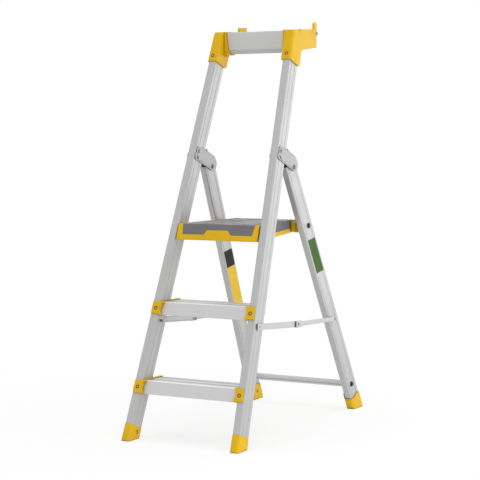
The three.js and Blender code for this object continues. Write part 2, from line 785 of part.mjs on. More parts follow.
// Where the deck goes, seen from the front, then behind the ears.
function deckZone(grow) {
  const floor = top - deck.height - grow;
  const front = bothSides([
    [frontHalf - tray.upright + grow, 2 * top],
    [frontHalf - tray.upright + grow, top],
    [frontHalf - tray.upright - tray.slant + grow, floor, 3],
    [tray.tongueBase / 2 - grow, floor, 2],
    [tray.tongueTop / 2 - grow, floor + tray.tongue, 2],
  ]).map(([x, z, radius]) => [z, x, radius]);
  const behind = [
    [ear.rear + 8 - grow, 2 * top],
    [ear.rear + 8 - grow, skirtLow(ear.rear + 8) - grow],
    [rearEdge - tray.rearWall + grow, skirtLow(rearEdge) - grow],
    [rearEdge - tray.rearWall + grow, 2 * top],
  ];
  return join(
    backPrism(outline(front), 2 * frontEdge(low), ear.rear + 9),
    acrossPrism(outline(behind), -farOut, farOut),
  );
}

// The room inside the tray, or inside the deck's skirts.
function hollow(wall, floor) {
  const frontWall = frontEdge(low) + wall / Math.cos(lean);
  const shoulder = ear.rear + 8 + wall;
  const inside = frontHalf - tray.upright - tray.slant - wall;
  const rear = rearEdge - tray.rearWall - wall;
  const plan = bothSides([
    [inside, 2 * frontWall],
    [inside, shoulder],
    [sideHalf(shoulder) - wall, shoulder],
    [sideHalf(rear) - wall, rear],
  ]);
  const side = [
    [frontEdge(floor) + wall / Math.cos(lean), floor],
    [frontEdge(top) + wall / Math.cos(lean), top],
    [rearEdge, top],
    [rearEdge, floor + rearLow - low],
  ];
  return common(prism(outline(plan), 2 * low, 2 * top), acrossPrism(outline(side), -farOut, farOut));
}

const pinSocket = rod(pin.radius + clearance, frontHalf - pin.depth, farOut, 0, 0);
const pinSockets = [pinSocket, pinSocket.clone().translate(pin.depth - frontHalf - farOut, 0, 0)];

// Openings between the ribs under the tray, in rows from front to back.
function trayOpenings() {
  const first = frontEdge(low) + tray.wall + tray.rib;
  const last = rearEdge - tray.rearWall - tray.wall - tray.rib;
  const pitch = (last - first + tray.rib) / tray.rows;
  const rows = Array.from({ length: tray.rows }, (_, row) => first + row * pitch);
  return rows.flatMap((y) => {
    const half = Math.min(sideHalf(y + pitch), sideHalf(ear.rear)) - tray.wall - tray.rib;
    const wide = (2 * half + tray.rib) / tray.columns;
    return Array.from({ length: tray.columns }, (_, column) => {
      const x = column * wide - half;
      return prism(outline(rectangle(x, y, x + wide - tray.rib, y + pitch - tray.rib, 3)), 2 * low, 0);
    });
  });
}

placePiece(
  platformGroup,
  "platform_frame",
  cut(
    platformHull(),
    deckZone(clearance),
    hollow(tray.wall, low + tray.floor),
    ...trayOpenings(),
    ...pinSockets,
  ),
  yellow,
);
const deckTop = new THREE.BoxGeometry(2 * farOut, 4 * farOut, deck.top).translate(0, 0, top - deck.top / 2);
placePiece(
  platformGroup,
  "platform_deck",
  cut(common(platformHull(), deckZone(0)), cut(hollow(deck.skirt, 2 * low), deckTop)),
  grey,
);

placePair(
  frontFrame,
  "platform_pivot",
  rod(
    pin.radius,
    frontHalf - pin.depth + clearance,
    faceHalf(platformPin.up, stile.width - stile.wall - 3),
    platformPin.back,
    platformPin.up,
  ),
  zinc,
);

// ---------------------------------------------------------------- the platform's rests on the legs
const restSeat = clearance + bolt.headRadius * Math.tan(rad(legSplay));

// A bolt through the leg from the outside, with its inner end at x = from.
function legBolt(from, front, down) {
  const seat = legFaceHalf(down) + restSeat;
  return turned(
    [
      [from, bolt.radius],
      [seat, bolt.radius],
      [seat, bolt.headRadius],
      [seat + bolt.head / 2, bolt.headRadius],
      [seat + bolt.head, bolt.headRadius * 0.7],
    ],
    front,
    -down,
    16,
  );
}
placePair(rearFrame, "rest_bolt", legBolt(restEnd + 8, rest.front, restDown), black);
const restSleeve = rod(rest.radius, restEnd, legFaceHalf(restDown), rest.front, -restDown, 20);
placePair(
  rearFrame,
  "rest_sleeve",
  cut(
    restSleeve,
    rod(bolt.radius + clearance, restEnd + 7, farOut, rest.front, -restDown),
    beyondLeg(1, leg.width + clearance),
  ),
  yellow,
);

function hookSide() {
  const { y, z } = restPlace;
  const slot = rest.radius + clearance;
  return [
    [y - hook.front, z + hook.above, 6],
    [y + hook.rear, z + hook.above, 6],
    [y + hook.rear, z - hook.below, 4],
    [y + slot, z - hook.below],
    [y + slot, z + slot, slot - 0.5],
    [y - slot, z + slot, slot - 0.5],
    [y - slot, z],
    [y - hook.front, z - hook.flare],
  ];
}
const hookInner = rearHalf + hook.inner;
const besidePlatform = platformPlan.map(([x, y, radius]) => [x + Math.sign(x) * clearance, y, radius]);
placePair(
  platformGroup,
  "platform_hook",
  cut(
    acrossPrism(outline(hookSide()), hookInner, hookInner + hook.width),
    prism(outline(besidePlatform), 3 * low, 3 * top),
  ),
  yellow,
);

// ---------------------------------------------------------------- brace between the legs
function braceProfile(grow = 0) {
  const half = brace.height / 2 + grow;
  const front = -brace.depth / 2 - grow;
  const rear = brace.depth / 2 + grow;
  return [
    [front, -half, 1],
    [front, -brace.creaseHalf],
    [front + brace.crease, 0],
    [front, brace.creaseHalf],
    [front + brace.crease / 2, half, 1],
    [rear, half, 1],
    [rear, -half, 1],
  ].map(([y, z, radius]) => [brace.front + y, z - brace.down, radius]);
}
placePiece(
  rearFrame,
  "rear_brace",
  cut(
    acrossPrism(outline(braceProfile()), -farOut, farOut, [outline(braceProfile(-brace.wall))]),
    beyondLeg(1, leg.width + clearance),
    beyondLeg(-1, leg.width + clearance),
  ),
  aluminium,
);
const braceBoltEnd = legFaceHalf(brace.down, leg.width + 14);
placePair(rearFrame, "brace_bolt", legBolt(braceBoltEnd, brace.front, brace.down), black);

// ---------------------------------------------------------------- spreaders
const midWorld = new THREE.Vector3(0, spreader.midBack, spreader.midUp).applyMatrix4(frontPlace);
const legWorld = new THREE.Vector3(0, spreader.legFront, -spreader.legDown).applyMatrix4(rearPlace);
const frontAngle = Math.atan2(spreader.midUp - linkA.z, spreader.midBack - linkA.y);
const frontLength = Math.hypot(spreader.midUp - linkA.z, spreader.midBack - linkA.y);
const rearAngle = Math.atan2(legWorld.z - midWorld.z, legWorld.y - midWorld.y);
const rearLength = Math.hypot(legWorld.z - midWorld.z, legWorld.y - midWorld.y);

// The links lie in two layers outside both the stile and the leg, the front one nearer to them.
const linkBase =
  Math.max(faceHalf(linkA.z), legFaceHalf(spreader.legDown + 2 * rearLink.nose)) + runningGap;
const frontLayer = [linkBase, linkBase + frontLink.depth];
const rearLayer = [frontLayer[1] + runningGap, frontLayer[1] + runningGap + rearLink.depth];

const frontLinkGroup = new THREE.Group();
frontLinkGroup.position.set(0, linkA.y, linkA.z);
frontLinkGroup.rotation.x = frontAngle;
frontFrame.add(frontLinkGroup);
const rearLinkGroup = new THREE.Group();
rearLinkGroup.position.copy(midWorld);
rearLinkGroup.rotation.x = rearAngle;
ladder.add(rearLinkGroup);

// A pressed channel, open towards the frames.
function channel(corners, inset, [from, to], wall) {
  return cut(acrossPrism(outline(corners), from, to), acrossPrism(outline(inset), from - 1, to - wall));
}

function frontLinkSide(inset) {
  const half = frontLink.height / 2 - inset;
  const front = -frontLink.nose - inset * 2; // open at its front end
  const rear = frontLength + frontLink.tail - inset;
  return [
    [front, -half],
    [rear, -half, half * 0.9],
    [rear, half, half * 0.9],
    [front, half],
  ];
}

// The rear link's front end is a deeper knuckle, in line with the front link when the ladder is open.
function rearLinkSide(inset) {
  const half = rearLink.height / 2 - inset;
  const deep = knuckle.height / 2 - inset;
  const front = -knuckle.front - inset * 2;
  const rear = rearLength + rearLink.nose - inset;
  return [
    [front, -deep],
    [knuckle.rear - inset, -deep, 2],
    [knuckle.rear - inset, -half],
    [rear, -half, half * 0.9],
    [rear, half, half * 0.9],
    [knuckle.rear - inset, half],
    [knuckle.rear - inset, deep, 2],
    [front, deep],
  ];
}

const linkBore = (y) => rod(rivet.radius + clearance, 0, farOut, y, 0);
const boltBore = (y, z) => rod(spreaderBolt.radius + clearance, 0, farOut, y, z);
placePair(
  frontLinkGroup,
  "spreader_front_link",
  cut(
    channel(frontLinkSide(0), frontLinkSide(frontLink.wall), frontLayer, frontLink.wall),
    boltBore(0, 0),
    linkBore(frontLength),
  ),
  aluminium,
);
placePair(
  rearLinkGroup,
  "spreader_rear_link",
  cut(
    channel(rearLinkSide(0), rearLinkSide(rearLink.wall), rearLayer, rearLink.wall),
    linkBore(0),
    linkBore(rearLength),
  ),
  aluminium,
);

// Black blocks fill the channels' open front ends round the front bolt and the middle rivet.
const frontWeb = [frontLayer[1] - frontLink.wall, frontLayer[1]];
const rearWeb = [rearLayer[1] - rearLink.wall, rearLayer[1]];
const frontBlock = rectangle(
  clearance - frontLink.nose,
  frontLink.wall + clearance - frontLink.height / 2,
  frontLink.block - frontLink.nose,
  frontLink.height / 2 - frontLink.wall - clearance,
  1,
);
placePair(
  frontLinkGroup,
  "spreader_bush",
  cut(
    acrossPrism(outline(frontBlock), frontLayer[0], frontWeb[0] - clearance),
    boltBore(0, 0),
  ),
  black,
);
const midBlock = rectangle(
  clearance - knuckle.front,
  rearLink.wall + clearance - knuckle.height / 2,
  knuckle.rear - rearLink.wall - clearance,
  knuckle.height / 2 - rearLink.wall - clearance,
  2,
);
placePair(
  rearLinkGroup,
  "spreader_mid_bush",
  cut(
    acrossPrism(outline(midBlock), rearLayer[0], rearWeb[0] - clearance),
    rod(rivet.headRadius + clearance, 0, farOut, 0, 0),
  ),
  black,
);

const dome = rivet.headRadius * 0.75;
placePair(
  frontLinkGroup,
  "spreader_mid_rivet",
  turned(
    [
      [frontWeb[0] - clearance - rivet.head, dome],
      [frontWeb[0] - clearance, rivet.headRadius],
      [frontWeb[0] - clearance, rivet.radius],
      [frontWeb[1] + clearance, rivet.radius],
      [frontWeb[1] + clearance, rivet.headRadius],
      [rearWeb[0] - clearance, rivet.headRadius],
      [rearWeb[0] - clearance, rivet.radius],
      [rearWeb[1] + clearance, rivet.radius],
      [rearWeb[1] + clearance, rivet.headRadius],
      [rearWeb[1] + clearance + rivet.head, dome],
    ],
    frontLength,
    0,
  ),
  zinc,
);
placePair(
  rearLinkGroup,
  "spreader_rear_rivet",
  headed(rearWeb[0] - clearance, rearWeb[1] + clearance, rearLength, 0, { ...rivet, head: 1.6 }),
  zinc,
);

// The front bolt is headed inside the stile and ends flush with the link's outer face.
const boltSeat =
  faceHalf(linkA.z, stile.width) - clearance - spreaderBolt.headRadius * Math.tan(rad(stileSplay));
placePair(
  frontFrame,
  "spreader_front_bolt",
  turned(
    [
      [boltSeat - spreaderBolt.head, spreaderBolt.headRadius * 0.75],
      [boltSeat - spreaderBolt.head / 2, spreaderBolt.headRadius],
      [boltSeat, spreaderBolt.headRadius],
      [boltSeat, spreaderBolt.radius],
      [frontWeb[1], spreaderBolt.radius],
    ],
    linkA.y,
    linkA.z,
  ),
  zinc,
);

export default ladder;
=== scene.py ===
"""Looks for the folding platform step ladder: materials, fasteners, stickers, floor, light and camera."""

import json
import math

import bmesh
import bpy
from mathutils import Matrix, Vector


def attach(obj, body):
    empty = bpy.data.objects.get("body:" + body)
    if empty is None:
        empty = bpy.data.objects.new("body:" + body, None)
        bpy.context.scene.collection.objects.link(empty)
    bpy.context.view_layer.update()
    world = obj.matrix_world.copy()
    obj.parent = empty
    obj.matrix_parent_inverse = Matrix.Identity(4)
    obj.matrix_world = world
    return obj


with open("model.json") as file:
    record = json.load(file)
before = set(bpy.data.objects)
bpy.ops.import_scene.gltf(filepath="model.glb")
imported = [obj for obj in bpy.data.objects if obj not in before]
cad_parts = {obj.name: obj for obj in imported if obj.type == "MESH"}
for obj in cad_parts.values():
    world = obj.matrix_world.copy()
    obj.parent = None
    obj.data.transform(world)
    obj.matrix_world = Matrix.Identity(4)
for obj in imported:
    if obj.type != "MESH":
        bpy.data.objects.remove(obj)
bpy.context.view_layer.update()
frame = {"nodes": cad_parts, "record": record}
nodes = frame["nodes"]
joints = {joint["name"]: joint for joint in frame["record"]["behaviour"]["joints"]}

# Places taken from the part's own dimensions, in metres and radians.
FRONT_LEAN = math.radians(21.25)
REAR_LEAN = math.radians(25.83)
STILE_SPLAY = math.radians(2.6)
LEG_SPLAY = math.radians(2.8)
FRONT_LINE = -0.46414  # y of the stiles' front faces at the floor
BASE_HALF = 0.2153  # half the width over the stiles' outer faces at the floor
HINGE_UP = 0.986
LEG_GAP = 0.003  # between a leg's outer face and its stile's, at the hinge
LEG_TOP_HALF = BASE_HALF - HINGE_UP * math.tan(STILE_SPLAY) - LEG_GAP
STILE_WIDTH, LEG_WIDTH = 0.0273, 0.0225
STEPS = {"lower": 0.1885, "middle": 0.436}
DECK_TOP, DECK_FRONT, DECK_REAR = 0.69, -0.1925, 0.133
DECK_SHOULDER = -0.1257  # where the deck widens behind its front
DECK_FRONT_HALF, DECK_SHOULDER_HALF, DECK_REAR_HALF = 0.136, 0.1452, 0.1165
HINGE_PLACE = Vector(joints["rear_fold"]["pos_m"])

TREAD_HIGHLIGHT_BANDS = 2.5  # painted highlight bands over a step's depth

# Fasteners on a stile: inset from its outer face, back from its front and up along it.
HANDRAIL_SCREW = (0.0133, -0.003, 1.343)
STEP_SCREW_INSET, STEP_SCREW_BACK, STEP_SCREW_DROP = 0.0185, -0.0037, 0.02
HINGE_PLATE = 0.0033  # how far a hinge plate stands off the stile
HINGE_PIN_BACK, HINGE_PIN_UP = 0.0628, 1.0247
FRONT_FOOT_SCREW = (STILE_WIDTH + 0.0025, 0.039, 0.0419)
ARM_RING = (-0.0098, 0.1495, 1.4802)
# On a leg: inset from its outer face, back from the hinge axis and down along it.
REAR_FOOT_SCREW = (LEG_WIDTH + 0.004, -0.0063, 0.9328)


# ---------------------------------------------------------------- shader helpers
def srgb(r, g, b):
    """A linear colour from the 0-255 values a screen shows."""
    def channel(v):
        v /= 255
        return v / 12.92 if v <= 0.04045 else ((v + 0.055) / 1.055) ** 2.4
    return (channel(r), channel(g), channel(b), 1)


def grey(value):
    return (value, value, value, 1)


def give(tree, value, socket):
    """Links a socket to another, or sets it where the value is a plain one."""
    if isinstance(value, bpy.types.NodeSocket):
        tree.links.new(value, socket)
    else:
        socket.default_value = value


class Nodes:
    """A node tree being built."""

    def __init__(self, tree):
        self.tree = tree

    def node(self, kind, **settings):
        made = self.tree.nodes.new("ShaderNode" + kind)
        for key, value in settings.items():
            setattr(made, key, value)
        return made

    def feed(self, node, **inputs):
        """Gives a node its inputs by name."""
        for name, value in inputs.items():
            give(self.tree, value, node.inputs[name.replace("_", " ")])
        return node

    def coords(self, tilt=(0, 0, 0), scale=(1, 1, 1)):
        """Object coordinates, turned back by the tilt and then scaled."""
        source = self.node("TexCoord").outputs["Object"]
        turn = self.node("Mapping", vector_type="POINT")
        self.feed(turn, Vector=source, Rotation=[-angle for angle in tilt])
        stretch = self.node("VectorMath", operation="MULTIPLY")
        give(self.tree, turn.outputs["Vector"], stretch.inputs[0])
        give(self.tree, scale, stretch.inputs[1])
        return stretch.outputs["Vector"]

    def noise(self, vector, scale, detail=2.0, roughness=0.5):
        made = self.node("TexNoise")
        self.feed(made, Vector=vector, Scale=scale, Detail=detail, Roughness=roughness)
        return made.outputs["Fac"]

    def remap(self, value, low, high, from_low=0.3, from_high=0.7):
        """The value's stretch between two levels, brought to the stretch from low to high."""
        made = self.node("MapRange", clamp=True)
        self.feed(made, Value=value, From_Min=from_low, From_Max=from_high, To_Min=low, To_Max=high)
        return made.outputs["Result"]

    def math(self, operation, *values):
        made = self.node("Math", operation=operation)
        for socket, value in zip(made.inputs, values):
            give(self.tree, value, socket)
        return made.outputs[0]

    def blend(self, factor, first, second, blend_type="MIX"):
        made = self.node("Mix", data_type="RGBA", blend_type=blend_type)
        give(self.tree, factor, made.inputs[0])
        colours = [socket for socket in made.inputs if socket.type == "RGBA"]
        for socket, value in zip(colours, (first, second)):
            give(self.tree, value, socket)
        return next(socket for socket in made.outputs if socket.type == "RGBA")

    def bump(self, height, distance, below=None):
        """Normals bumped by a height, on top of the normals below where there are any."""
        made = self.feed(self.node("Bump"), Height=height, Distance=distance, Strength=1.0)
        if below is not None:
            self.feed(made, Normal=below)
        return made.outputs["Normal"]

    def rounded(self, radius):
        """Normals that turn smoothly over every edge."""
        return self.feed(self.node("Bevel", samples=6), Radius=radius).outputs["Normal"]

    def painted_contact_shade(self, colour, reach, dark):
        """The colour, darkened by painted shade where another surface stands close by."""
        near = self.feed(self.node("AmbientOcclusion", samples=8), Distance=reach)
        open_share = self.remap(near.outputs["AO"], 0.0, 1.0, 0.45, 0.95)
        shade = self.blend(open_share, grey(dark), grey(1))
        return self.blend(1.0, colour, shade, "MULTIPLY")

    def background_rays(self):
        """1 for the rays that meet the background: the camera's, and those in metal and through glass."""
        path = self.node("LightPath")
        seen = self.math("MAXIMUM", path.outputs["Is Camera Ray"], path.outputs["Is Glossy Ray"])
        return self.math("MAXIMUM", seen, path.outputs["Is Transmission Ray"])

    def finish_with(self, output, share, first, second):
        """Ends the tree in a mix of two shaders."""
        mix = self.node("MixShader")
        for socket, value in zip(mix.inputs, (share, first.outputs[0], second.outputs[0])):
            give(self.tree, value, socket)
        self.feed(self.tree.nodes[output], Surface=mix.outputs[0])


class Surface(Nodes):
    """A material being built from nodes round its Principled BSDF."""

    def __init__(self, name, **sockets):
        self.material = bpy.data.materials.new(name)
        self.material.use_nodes = True
        super().__init__(self.material.node_tree)
        self.principled = self.tree.nodes["Principled BSDF"]
        self.feed(self.principled, **sockets)

    def done(self, colour, roughness, normal):
        self.feed(self.principled, Base_Color=colour, Roughness=roughness, Normal=normal)
        return self.material


# ---------------------------------------------------------------- materials
def aluminium(name, tilt, tone=0.5, contact_shade_dark=0.55, tread_highlight=None):
    """Mill-finish extrusion: fine die lines along it, a faint haze, painted shade where other surfaces stand
    close, and on a tread's top a painted highlight in bright bands.
    """
    m = Surface(name, Metallic=0.55, Specular_IOR_Level=0.5)
    lines = m.noise(m.coords(tilt, (420, 420, 3)), 1.0, 3.0, 0.6)
    haze = m.noise(m.coords(), 9.0, 3.0)
    colour = m.blend(m.remap(lines, 0.0, 1.0), grey(tone - 0.02), grey(tone + 0.02))
    # On a step, the up-facing top is lightened with a painted highlight in bands across its depth.
    if tread_highlight:
        split = m.node("SeparateXYZ")
        m.feed(split, Vector=m.node("TexCoord").outputs["Generated"])
        turns = m.math("MULTIPLY_ADD", split.outputs["Y"], 2 * math.pi * TREAD_HIGHLIGHT_BANDS, math.pi)
        bands = m.remap(m.math("COSINE", turns), 0.0, 1.0, -0.6, 0.6)
        tread = m.blend(bands, grey(tread_highlight[0]), grey(tread_highlight[1]))
        lit_top_share = m.remap(split.outputs["Z"], 0.0, 1.0, 0.955, 0.97)
        colour = m.blend(lit_top_share, colour, tread)
    rough = m.math("ADD", m.remap(lines, 0.42, 0.5), m.remap(haze, -0.04, 0.06))
    normal = m.bump(lines, 0.00001, below=m.rounded(0.0015))
    # The colour is darkened by painted shade in grooves and where parts meet.
    return m.done(m.painted_contact_shade(colour, 0.0035, contact_shade_dark), rough, normal)


def plastic(name, colour, lighter, roughness, grain=1800.0, depth=0.00005):
    """Moulded plastic: a fine spark-eroded grain with slow changes of colour and gloss, and painted shade
    where other surfaces stand close.
    """
    m = Surface(name, Specular_IOR_Level=0.3)
    position = m.coords()
    fine = m.noise(position, grain, 2.0)
    slow = m.noise(position, 14.0, 3.0)
    colour = m.painted_contact_shade(m.blend(m.remap(slow, 0.0, 1.0), colour, lighter), 0.005, 0.35)
    gloss = m.remap(slow, roughness - 0.05, roughness + 0.05)
    rough = m.math("ADD", gloss, m.remap(fine, -0.04, 0.04))
    return m.done(colour, rough, m.bump(fine, depth, below=m.rounded(0.0012)))


def steel(name, colour, lighter, metallic, roughness):
    """Plated or coated steel with a soft mottle, and painted shade where other surfaces stand close."""
    m = Surface(name, Metallic=metallic, Specular_IOR_Level=0.5)
    mottle = m.noise(m.coords(), 160.0, 4.0, 0.6)
    colour = m.painted_contact_shade(m.blend(m.remap(mottle, 0.0, 1.0), colour, lighter), 0.005, 0.35)
    rough = m.remap(mottle, roughness - 0.06, roughness + 0.06)
    return m.done(colour, rough, m.bump(mottle, 0.00004, below=m.rounded(0.0008)))


def rib_highlight_streaks(name, colour, lighter):
    """The tops of the deck's ribs, lighter in streaks from side to side as a painted highlight, with painted
    shade where other surfaces stand close.
    """
    m = Surface(name, Specular_IOR_Level=0.3)
    streaks = m.noise(m.coords(scale=(11, 48, 1)), 1.0, 3.0, 0.6)
    fine = m.noise(m.coords(), 900.0, 2.0)
    highlight_share = m.remap(streaks, 0.0, 1.0, 0.38, 0.6)
    colour = m.painted_contact_shade(m.blend(highlight_share, colour, lighter), 0.003, 0.5)
    return m.done(colour, m.remap(streaks, 0.6, 0.48), m.bump(fine, 0.00006))


def film(name, colour, lighter):
    """A plastic film, a little uneven in tone and gloss."""
    m = Surface(name, Specular_IOR_Level=0.12)
    uneven = m.noise(m.coords(), 60.0, 3.0)
    colour = m.blend(m.remap(uneven, 0.0, 1.0), colour, lighter)
    return m.done(colour, m.remap(uneven, 0.4, 0.52), m.bump(uneven, 0.00005))


# The tilt turns the die lines along each extrusion.
STILE_TILT, LEG_TILT = (-FRONT_LEAN, 0, 0), (REAR_LEAN, 0, 0)
ACROSS, FORE_AND_AFT = (0, math.pi / 2, 0), (math.pi / 2, 0, 0)

# The darkness settings given to the stiles and steps are for painted shade in grooves and where parts meet.
stile_metal = aluminium("stile_aluminium", STILE_TILT, contact_shade_dark=0.86)
leg_metal = aluminium("leg_aluminium", LEG_TILT)
cross_metal = aluminium("cross_aluminium", ACROSS, tone=0.59)
# The two tones given last to the steps are the painted highlight bands on their treads.
step_metal = aluminium("step_aluminium", ACROSS, tone=0.63, contact_shade_dark=0.75, tread_highlight=(0.66, 0.96))
link_metal = aluminium("link_aluminium", FORE_AND_AFT, tone=0.54)
yellow = plastic("yellow_plastic", srgb(218, 173, 3), srgb(226, 181, 8), 0.5)
black = plastic("black_plastic", srgb(24, 24, 26), srgb(32, 32, 34), 0.5)
deck = plastic("deck_plastic", srgb(108, 106, 109), srgb(118, 116, 119), 0.62)
# The deck's ribs get painted highlight streaks in a lighter grey.
deck_rib = rib_highlight_streaks("deck_rib_plastic", srgb(114, 112, 114), srgb(202, 200, 202))
zinc = steel("zinc_steel", grey(0.36), grey(0.41), 0.7, 0.45)
rivet_steel = steel("rivet_steel", grey(0.17), grey(0.24), 0.8, 0.42)
screw_steel = steel("screw_steel", (0.66, 0.54, 0.46, 1), (0.74, 0.62, 0.54, 1), 0.8, 0.35)
black_steel = steel("black_steel", srgb(20, 20, 22), srgb(30, 30, 32), 0.3, 0.42)
green_film = film("green_film", srgb(52, 86, 26), srgb(66, 102, 36))
black_film = film("black_film", srgb(18, 17, 16), srgb(26, 25, 24))
# A brown ring of painted shade, for the shadow in the recess round a screw head.
shade_ring_brown = film("recess_shade_ring", srgb(142, 88, 6), srgb(156, 100, 12))
yellow_film = film("yellow_film", srgb(226, 188, 40), srgb(236, 200, 52))

# The first entry whose start fits a node's name gives its material.
FINISH = [
    ("stile_", stile_metal),
    ("rear_leg_cap", black),
    ("rear_leg", leg_metal),
    ("handrail_bracket", yellow),
    ("handrail", cross_metal),
    ("rear_brace", cross_metal),
    ("step_bracket", yellow),
    ("step_", step_metal),
    ("front_foot", yellow),
    ("rear_foot", yellow),
    ("hinge_bush", black),
    ("hinge_pivot", rivet_steel),
    ("hinge_", zinc),
    ("platform_deck", deck),
    ("platform_pivot", zinc),
    ("platform_", yellow),
    ("rest_sleeve", yellow),
    ("rest_bolt", black_steel),
    ("brace_bolt", black_steel),
    ("spreader_front_bolt", rivet_steel),
    ("spreader_bush", black),
    ("spreader_mid_bush", black),
    ("spreader_mid_rivet", zinc),
    ("spreader_rear_rivet", zinc),
    ("spreader_", link_metal),
]
for name, piece in nodes.items():
    finish = next(material for start, material in FINISH if name.startswith(start))
    piece.data.materials.clear()
    piece.data.materials.append(finish)


# ---------------------------------------------------------------- placing small pieces
def mirrored(side):
    return Matrix.Diagonal((side, 1, 1, 1))


def on_stile(side, inset, back, up):
    """A place inset from one stile's outer face, back from its front and up along it."""
    upright = Matrix.Rotation(-STILE_SPLAY, 4, "Y") @ Matrix.Translation((-inset, back, up))
    leaning = Matrix.Rotation(-FRONT_LEAN, 4, "X") @ Matrix.Translation((BASE_HALF, 0, 0)) @ upright
    return mirrored(side) @ Matrix.Translation((0, FRONT_LINE, 0)) @ leaning


def on_leg(side, inset, back, down):
    """A place inset from one leg's outer face, back from the hinge axis and down along the leg."""
    upright = Matrix.Rotation(-LEG_SPLAY, 4, "Y") @ Matrix.Translation((-inset, back, -down))
    leaning = Matrix.Rotation(REAR_LEAN, 4, "X") @ Matrix.Translation((LEG_TOP_HALF, 0, 0)) @ upright
    return mirrored(side) @ Matrix.Translation(HINGE_PLACE) @ leaning


FACING = {
    "front": Matrix.Rotation(math.pi / 2, 4, "X"),
    "out": Matrix.Rotation(math.pi / 2, 4, "Y"),
    "in": Matrix.Rotation(-math.pi / 2, 4, "Y"),
}


def add_piece(name, mesh, place, body, material):
    made = bpy.data.objects.new(name, mesh.copy())
    made.data.transform(place)
    if place.determinant() < 0:
        made.data.flip_normals()
    made.data.materials.append(material)
    bpy.context.collection.objects.link(made)
    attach(made, body)


# ---------------------------------------------------------------- screws, pins and the ring
def turned(name, stations, sides=20, ring=False):
    """A mesh turned about z from (radius, height) stations: a ring, or closed on the axis at both ends."""
    mesh = bpy.data.meshes.new(name)
    shape = bmesh.new()
    rings = [
        [
            shape.verts.new((radius * math.cos(a), radius * math.sin(a), height))
            for a in (2 * math.pi * k / sides for k in range(sides))
        ]
        for radius, height in stations
    ]
    following = rings[1:]
    if ring:
        following.append(rings[0])
    for low, high in zip(rings, following):
        for k in range(sides):
            after = (k + 1) % sides
            shape.faces.new((low[k], low[after], high[after], high[k]))
    if not ring:
        shape.faces.new(rings[0][::-1])
        shape.faces.new(rings[-1])
    for face in shape.faces:
        face.smooth = len(face.verts) == 4
    shape.to_mesh(mesh)
    shape.free()
    return mesh


def circle(radius, wire, corners=8):
    """The section of a ring of round wire, as stations round it."""
    angles = (2 * math.pi * k / corners for k in range(corners))
    return [(radius + wire * math.cos(a), wire * math.sin(a)) for a in angles]


# A brown ring of painted shade for a screw's recess, a domed screw with a round driving recess, and the end
# of a pin, all standing up from z = 0.
shade_ring = turned("shade_ring", [(0.0052, 0), (0.0056, 0.0003), (0.0052, 0.0007), (0.003, 0.0005)])
screw = turned("screw", [
    (0.0028, 0.0004), (0.0031, 0.001), (0.0026, 0.0019),
    (0.0018, 0.0022), (0.0012, 0.0021), (0.0009, 0.0012),
])
pin_end = turned("pin_end", [
    (0.0022, -0.003), (0.0024, 0.0), (0.0023, 0.0007), (0.0018, 0.0012), (0.0005, 0.0014),
])
eyelet = turned("eyelet", circle(0.005, 0.002), ring=True)


def add_screw(name, place, body="front_frame"):
    # Each screw sits in a brown ring of painted shade for the shadow of its recess.
    add_piece(f"{name}_washer", shade_ring, place, body, shade_ring_brown)
    add_piece(name, screw, place, body, screw_steel)


for side, word in ((-1, "left"), (1, "right")):
    add_screw(f"handrail_screw_{word}", on_stile(side, *HANDRAIL_SCREW) @ FACING["front"])
    for step, height in STEPS.items():
        up = height / math.cos(FRONT_LEAN) - STEP_SCREW_DROP
        place = on_stile(side, STEP_SCREW_INSET, STEP_SCREW_BACK, up) @ FACING["front"]
        add_screw(f"step_screw_{step}_{word}", place)
    plates = (("outer", -HINGE_PLATE, "out"), ("inner", STILE_WIDTH + HINGE_PLATE, "in"))
    for face, inset, facing in plates:
        place = on_stile(side, inset, HINGE_PIN_BACK, HINGE_PIN_UP) @ FACING[facing]
        add_piece(f"hinge_pin_{face}_{word}", pin_end, place, "front_frame", black_steel)
    add_screw(f"front_foot_screw_{word}", on_stile(side, *FRONT_FOOT_SCREW) @ FACING["in"])
    add_screw(f"rear_foot_screw_{word}", on_leg(side, *REAR_FOOT_SCREW) @ FACING["in"], "rear_frame")

# The ring on the rear edge of the right arm.
ring_place = on_stile(1, *ARM_RING) @ FACING["out"]
add_piece("arm_eyelet", eyelet, ring_place, "front_frame", zinc)


# ---------------------------------------------------------------- the deck's tread
def deck_half(y):
    """Half the width of the deck's top."""
    if y < DECK_SHOULDER:
        return DECK_FRONT_HALF
    share = (y - DECK_SHOULDER) / (DECK_REAR - DECK_SHOULDER)
    return DECK_SHOULDER_HALF + share * (DECK_REAR_HALF - DECK_SHOULDER_HALF)


def deck_ribs(pitch=0.0085, height=0.0012, base=0.0044, top=0.0026, sunk=0.0002,
              wave=0.038, swing=0.003, margin=0.007, pieces_per_wave=8):
    """The non-slip tread: low wavy ribs from side to side of the platform, behind a straight one."""
    mesh = bpy.data.meshes.new("deck_ribs")
    shape = bmesh.new()
    section = ((-base / 2, -sunk), (base / 2, -sunk), (top / 2, height), (-top / 2, height))
    rows = int((DECK_REAR - DECK_FRONT - 2 * margin) / pitch)
    straight = (DECK_FRONT + base / 2, 0)
    wavy = [(DECK_FRONT + margin + (row + 0.5) * pitch, swing) for row in range(rows)]
    for y, bend in [straight] + wavy:
        half = min(deck_half(y - bend), deck_half(y + bend)) - margin
        steps = round(2 * half / (wave / pieces_per_wave))
        sections = []
        for k in range(steps + 1):
            x = half * (2 * k / steps - 1)
            middle = y + bend * math.sin(2 * math.pi * x / wave)
            sections.append([shape.verts.new((x, middle + out, DECK_TOP + rise)) for out, rise in section])
        for near, far in zip(sections, sections[1:]):
            for k in range(4):
                after = (k + 1) % 4
                shape.faces.new((near[k], near[after], far[after], far[k]))
        shape.faces.new(sections[0][::-1])
        shape.faces.new(sections[-1])
    bmesh.ops.recalc_face_normals(shape, faces=shape.faces)
    shape.to_mesh(mesh)
    shape.free()
    return mesh


add_piece("deck_ribs", deck_ribs(), Matrix(), "platform", deck_rib)


